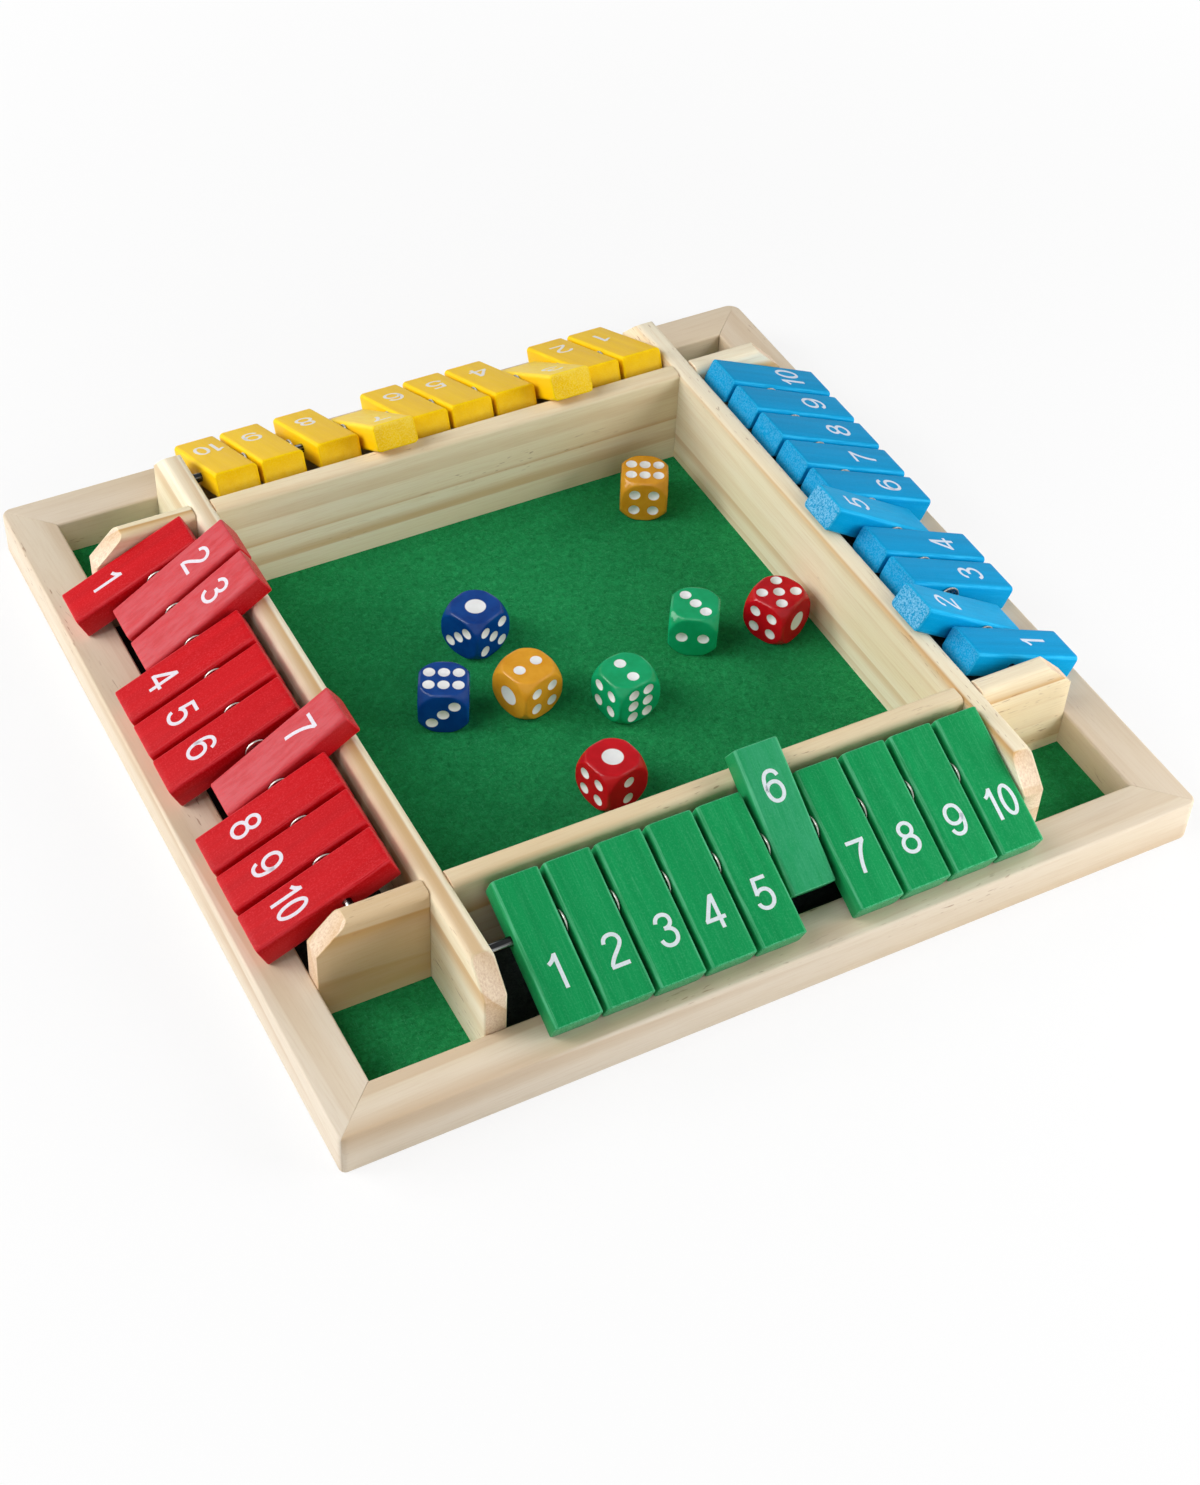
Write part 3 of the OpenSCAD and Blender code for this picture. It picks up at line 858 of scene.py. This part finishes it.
# %% Rods
SIDES = {"front": 0, "right": 90, "back": 180, "left": 270}   # turns from the front row onto each row
rods = np.array([v.co for v in frame["nodes"]["pivot_rods"].data.vertices])
rod_half = rods[rods[:, 1] < ROD_R - ROD_OUT, 0].max()
circle = arc((0, ROD_Z), ROD_R, 0, 360, 33)[:-1] - [ROD_OUT, 0]
for name, degrees in SIDES.items():
    end = np.full(len(circle), rod_half)
    rings = moulding(circle, -end, end, even_steps(12), 0.2 * MM)
    rod = make_piece(f"rod_{name}", turned(rings.reshape(-1, 3), degrees),
                     ring_faces(*rings.shape[:2]), steel)
    keep_vectors(rod, "grain", rings)
    seat(rod, "tray", "steel", "pivot_rods")
print("rods", round(2 * rod_half / MM, 1), "mm long")

# %% Washer shape
WASHER_T = 0.7 * MM
WASHER_R = (WASHER_HIGH.z - WASHER_LOW.z) / 2 + 0.5 * MM
HOLE_R = ROD_R + 0.1 * MM
AROUND = 40                        # points round a washer


def washer_section():
    """Along the rod and out from it: a thin strip whose two outer corners are well rounded."""
    half, rim = WASHER_T / 2, 0.3 * MM
    return np.concatenate([
        [[-half, HOLE_R]], arc((-half + rim, WASHER_R - rim), rim, 180, 90, 4),
        arc((half - rim, WASHER_R - rim), rim, 90, 0, 4), [[half, HOLE_R]]])


section = washer_section()
angle = np.linspace(0, 2 * np.pi, AROUND + 1)[:-1, None]
ring = np.stack([np.broadcast_to(section[:, 0], (AROUND, len(section))),
                 section[:, 1] * np.cos(angle), section[:, 1] * np.sin(angle)], -1)
print("washers", round(2 * WASHER_R / MM, 1), "mm across")

# %% Washers
washers = np.array([v.co for v in frame["nodes"]["spacer_washers"].data.vertices])
for name, degrees in SIDES.items():
    local = turned(washers, -degrees)
    along = np.sort(local[local[:, 1] < WASHER_R - ROD_OUT, 0])
    tile_wide = np.diff(along) > 5 * MM                      # a tile stands between two washers
    washers_here = np.split(along, np.flatnonzero(tile_wide) + 1)
    last, slid = APART["red"] if name == "left" else (6, 0.0)
    for number, span in enumerate(washers_here, 1):
        middle = (span[0] + span[-1]) / 2 + slid * np.sign(number - last)
        points = (ring + [middle, -ROD_OUT, ROD_Z]).reshape(-1, 3)
        washer = make_piece(f"washer_{name}_{number}", turned(points, degrees),
                            ring_faces(*ring.shape[:2], capped=False, closed=True), washer_steel, 50)
        keep_vectors(washer, "grain", ring + [0.02 * number, 0, 0])
        seat(washer, "tray", "steel", "spacer_washers")
    print(len(washers_here), "washers on the", name, "rod")

# %% [markdown]
# ## Dice
# A moulded die is a cube met by a ball: the ball takes off the eight corners.
# A cube turns into that with no cutting. Every point of a cube's grid has a
# direction from the middle, and each direction meets the cube and the ball at
# two distances. The smaller of the two, with a soft change over, is the die.

# %% Pips
PIP_R = 1.95 * MM
ONE_PIP_R = 3.45 * MM
PIP_DEPTH = 0.7 * MM
FACES = [                          # the turn onto each face, then its pips as shares of the side
    ((0, 0, 0), [(0, 0)]),
    ((90, 0, 0), [(0, 0.216), (0, -0.216)]),
    ((0, 90, 0), [(0.219, -0.219), (0, 0), (-0.219, 0.219)]),
    ((0, -90, 0), [(u, v) for u in (-0.2, 0.2) for v in (-0.2, 0.2)]),
    ((-90, 0, 0), [(0, 0)] + [(u, v) for u in (-0.244, 0.244) for v in (-0.244, 0.244)]),
    ((180, 0, 0), [(u, v) for u in (-0.172, 0.172) for v in (-0.288, 0, 0.288)]),
]


def spin(x, y, z):
    """A turn about X, then Y, then Z, in degrees."""
    return np.array(Euler([math.radians(a) for a in (x, y, z)]).to_matrix())


print([len(pips) for turn, pips in FACES], "pips on the six faces")

# %% Die shape
GRID = 72                          # steps along each side of a face
BALL = 11.25 / 16                  # the ball's radius as a share of the side
EDGE_POWER = 30                    # the higher, the tighter the edges
MEET_POWER = 60                    # the higher, the sharper the change from cube to ball
POLISHED, RIM = 0.88, 0.06         # where a face's polish starts and over how much it comes, of half a side
BALL_GLOSS = 0.4                   # the ball's cuts are less polished than the edges


def die_face(side, pips, pip_r):
    """A grid on one face, out to min(cube, ball), sunk by a dish at each pip. Gloss is 1 where it is round."""
    line = np.linspace(-1, 1, GRID + 1)
    u, v = np.meshgrid(line, line, indexing="ij")
    cube = side / 2 / (np.abs(u) ** EDGE_POWER + np.abs(v) ** EDGE_POWER + 1) ** (1 / EDGE_POWER)
    ball = BALL * side / np.sqrt(u * u + v * v + 1)
    out = (cube ** -MEET_POWER + ball ** -MEET_POWER) ** (-1 / MEET_POWER)
    points = np.stack([u * out, v * out, out], -1)
    centres = np.array(pips) * side
    gloss = np.clip((np.maximum(np.abs(u), np.abs(v)) - POLISHED) / RIM, 0, 1)
    gloss = np.maximum(gloss, np.clip((cube - ball) / (0.02 * side), 0, 1))
    gloss *= np.where(ball < cube, BALL_GLOSS, 1.0)
    away = np.linalg.norm(points[:, :, None, :2] - centres, axis=-1).min(-1) / pip_r
    points[..., 2] -= PIP_DEPTH * np.clip(1 - away ** 2, 0, 1)
    return points, centres, gloss


def die_mesh(side):
    """Six such faces turned into place, one where they meet on the cube's grid. UV is about the nearest pip."""
    i, j = np.meshgrid(np.arange(GRID + 1), np.arange(GRID + 1), indexing="ij")
    quads = ((i * (GRID + 1) + j)[:-1, :-1, None] + [0, GRID + 1, GRID + 2, 1]).reshape(-1, 4)
    cells = np.stack([2 * i - GRID, 2 * j - GRID, np.full_like(i, GRID)], -1).reshape(-1, 3)
    points, faces, uvs, polish, places = [], [], [], [], []
    for number, (turn, pips) in enumerate(FACES):
        pip_r = ONE_PIP_R if number == 0 else PIP_R
        grid, centres, gloss = die_face(side, pips, pip_r)
        grid = grid.reshape(-1, 3)
        corners = grid[quads][..., :2]
        nearest = np.linalg.norm(corners.mean(1)[:, None] - centres, axis=-1).argmin(-1)
        uvs.append((corners - centres[nearest][:, None]) / pip_r)
        faces.append(quads + number * len(grid))
        points.append(grid @ spin(*turn).T)
        places.append(cells @ spin(*turn).T.round().astype(int))
        polish.append(gloss.reshape(-1))
    points, faces = np.concatenate(points), np.concatenate(faces)
    _, first, same = np.unique(np.concatenate(places), axis=0, return_index=True, return_inverse=True)
    return points[first], same.reshape(-1)[faces], np.concatenate(uvs), np.concatenate(polish)[first]


low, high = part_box("die_red_1")
points, faces, uvs, polish = die_mesh(high.z - low.z)
print("each die has", len(faces), "faces")

# %% Die plastic
def die_plastic(name, colour, deep):
    """Plastic that tumbling has polished on its edges, with matt white paint inside radius 1 of each pip."""
    material, tree, shader = new_material(name, Specular_IOR_Level=0.05, Coat_Roughness=0.05)
    place = add(tree, "ShaderNodeTexCoord", {})
    away = add(tree, "ShaderNodeVectorMath", {0: place.outputs["UV"]}, operation="LENGTH").outputs["Value"]
    pip = ranged(tree, away, 0.93, 1.0, 1.0, 0.0)
    cloud = noise(tree, place.outputs["Object"], 160.0, 3.0, 0.6)
    body = mixed(tree, ranged(tree, cloud, 0.35, 0.7), colour, deep)
    paint = mixed(tree, ranged(tree, cloud, 0.3, 0.7), srgb(240, 241, 242), srgb(228, 229, 228))
    plug(tree, shader.inputs["Base Color"], mixed(tree, pip, body, paint))
    plug(tree, shader.inputs["Roughness"], ranged(tree, pip, 0, 1, 0.2, 0.55))
    polish = read(tree, "polish").outputs["Fac"]
    plug(tree, shader.inputs["Coat Weight"], ranged(tree, polish, 0, 1, 0.1, 1.0))
    return material


plastics = {
    "red": die_plastic("red_die", srgb(200, 18, 30), srgb(184, 12, 24)),
    "blue": die_plastic("blue_die", srgb(10, 66, 142), srgb(4, 52, 124)),
    "green": die_plastic("green_die", srgb(20, 166, 108), srgb(12, 150, 92)),
    "amber": die_plastic("amber_die", srgb(224, 160, 44), srgb(212, 144, 30)),
}
print("plastics:", ", ".join(plastics))

# %% Lay the eight dice
DICE = {                           # the turn that brings the right face up, then the turn about the upright
    "die_red_1": ((0, 0, 0), 12.2),
    "die_red_2": ((90, 0, 0), 24),
    "die_blue_1": ((0, 0, 0), -158.3),
    "die_blue_2": ((180, 0, 0), -116.9),
    "die_green_1": ((-90, 0, 0), 8.3),
    "die_green_2": ((0, -90, 0), -33),
    "die_amber_1": ((-90, 0, 0), 106),
    "die_amber_2": ((180, 0, 0), 61.2),
}
for body, (turn, yaw) in DICE.items():
    low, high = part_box(body)
    middle = np.array((low + high) / 2)
    placed = points @ (spin(0, 0, yaw) @ spin(*turn)).T + middle
    colour = body.split("_")[1]
    die = make_piece(f"{body}_moulded", placed, faces.tolist(), plastics[colour], 60)
    layer = die.data.uv_layers.new(name="pips")
    layer.data.foreach_set("uv", uvs.astype(np.float32).reshape(-1))
    keep_numbers(die, "polish", polish)
    seat(die, body, f"{colour}_die", body)
print(len(DICE), "dice")

# %% [markdown]
# ## Floor, light and camera
# The game stands on a white sweep, as catalogue goods do. What the camera and
# reflections see is plain white, and only near the tray does the floor keep
# some of its shadow. The main light is a big soft lamp behind on the left, with
# another high on the left. Three weaker ones in front and on the right only
# fill the shadows, so they are kept out of reflections: with them, every
# polished edge would get a haze. The room itself gives almost no light.

# %% White room
WHITE = (1, 1, 1, 1)


def seen_share(tree):
    """1 for rays from the camera, off a gloss or through glass, and 0 for light on its way."""
    rays = add(tree, "ShaderNodeLightPath", {}).outputs
    bent = maths(tree, "MAXIMUM", rays["Is Glossy Ray"], rays["Is Transmission Ray"])
    return maths(tree, "MAXIMUM", rays["Is Camera Ray"], bent)


world = bpy.data.worlds.new("white_room")
bpy.context.scene.world = world
world.use_nodes = True
tree = world.node_tree
plug(tree, tree.nodes["Background"].inputs["Color"], WHITE)
plug(tree, tree.nodes["Background"].inputs["Strength"], ranged(tree, seen_share(tree), 0, 1, 0.03, 1.0))
print("the room's material has", len(tree.nodes), "nodes")

# %% Sweep
floor_material, tree, shader = new_material("sweep", Base_Color=(0.9, 0.9, 0.9, 1), Roughness=0.9)
white = add(tree, "ShaderNodeEmission", {"Color": WHITE, "Strength": 1.0}).outputs[0]
place = add(tree, "ShaderNodeTexCoord", {}).outputs["Object"]
away = add(tree, "ShaderNodeVectorMath", {0: place}, operation="LENGTH").outputs["Value"]
part = maths(tree, "MULTIPLY", seen_share(tree), ranged(tree, away, 0.2, 0.55, 0.8, 1.0))
blend = add(tree, "ShaderNodeMixShader", {0: part, 1: shader.outputs[0], 2: white})
plug(tree, tree.nodes["Material Output"].inputs["Surface"], blend.outputs[0])
SPREAD = 6.0
corners = np.array([(-1, -1, 0), (1, -1, 0), (1, 1, 0), (-1, 1, 0)]) * SPREAD
sweep = make_piece("sweep", corners, [[0, 1, 2, 3]], floor_material)
print("a sweep", 2 * SPREAD, "m wide")

# %% Lamps
def soft_lamp(name, azimuth, height, distance, size, power, in_gloss=True):
    """A square lamp facing the middle, at an azimuth anticlockwise from +X and a height, both in degrees."""
    lamp = bpy.data.lights.new(name, "AREA")
    lamp.shape, lamp.size, lamp.energy = "SQUARE", size, power
    holder = bpy.data.objects.new(name, lamp)
    holder.visible_glossy = in_gloss
    bpy.context.scene.collection.objects.link(holder)
    az, el = math.radians(azimuth), math.radians(height)
    outward = Vector((math.cos(az) * math.cos(el), math.sin(az) * math.cos(el), math.sin(el)))
    holder.location = outward * distance
    holder.rotation_euler = outward.to_track_quat("Z", "Y").to_euler()
    return holder


# its name, azimuth, height, distance and size in metres, and power in watts
soft_lamp("key", 150, 25, 1.4, 0.8, 14)
soft_lamp("high_left", 180, 50, 1.4, 0.8, 7.8)
soft_lamp("near_right", 318, 18.4, 0.63, 0.35, 2.6, in_gloss=False)
soft_lamp("front", 258, 32, 1.4, 0.8, 3.1, in_gloss=False)
soft_lamp("side_right", 0, 35, 1.4, 0.8, 4.5, in_gloss=False)
print(len(bpy.data.lights), "lamps")

# %% Camera
CAMERA_AT = (-0.27066, -0.49042, 0.54387)
LOOKS = Vector((0.35018625, 0.60711416, -0.71328956))
ROLL = math.radians(3.166)
LENS = 73.33
level = LOOKS.cross(Vector((0, 0, 1))).normalized()
above = level.cross(LOOKS)
right = math.cos(ROLL) * level + math.sin(ROLL) * above
up = math.cos(ROLL) * above - math.sin(ROLL) * level
camera = bpy.data.objects.new("camera", bpy.data.cameras.new("camera"))
bpy.context.scene.collection.objects.link(camera)
camera.data.sensor_fit = "HORIZONTAL"
camera.data.sensor_width = 36
camera.data.lens = LENS
camera.matrix_world = Matrix.Translation(CAMERA_AT) @ Matrix((right, up, -LOOKS)).transposed().to_4x4()
bpy.context.scene.camera = camera
bpy.context.scene.view_settings.view_transform = "Standard"
print("a lens of", LENS, "mm,", round(Vector(CAMERA_AT).length, 2), "m away")
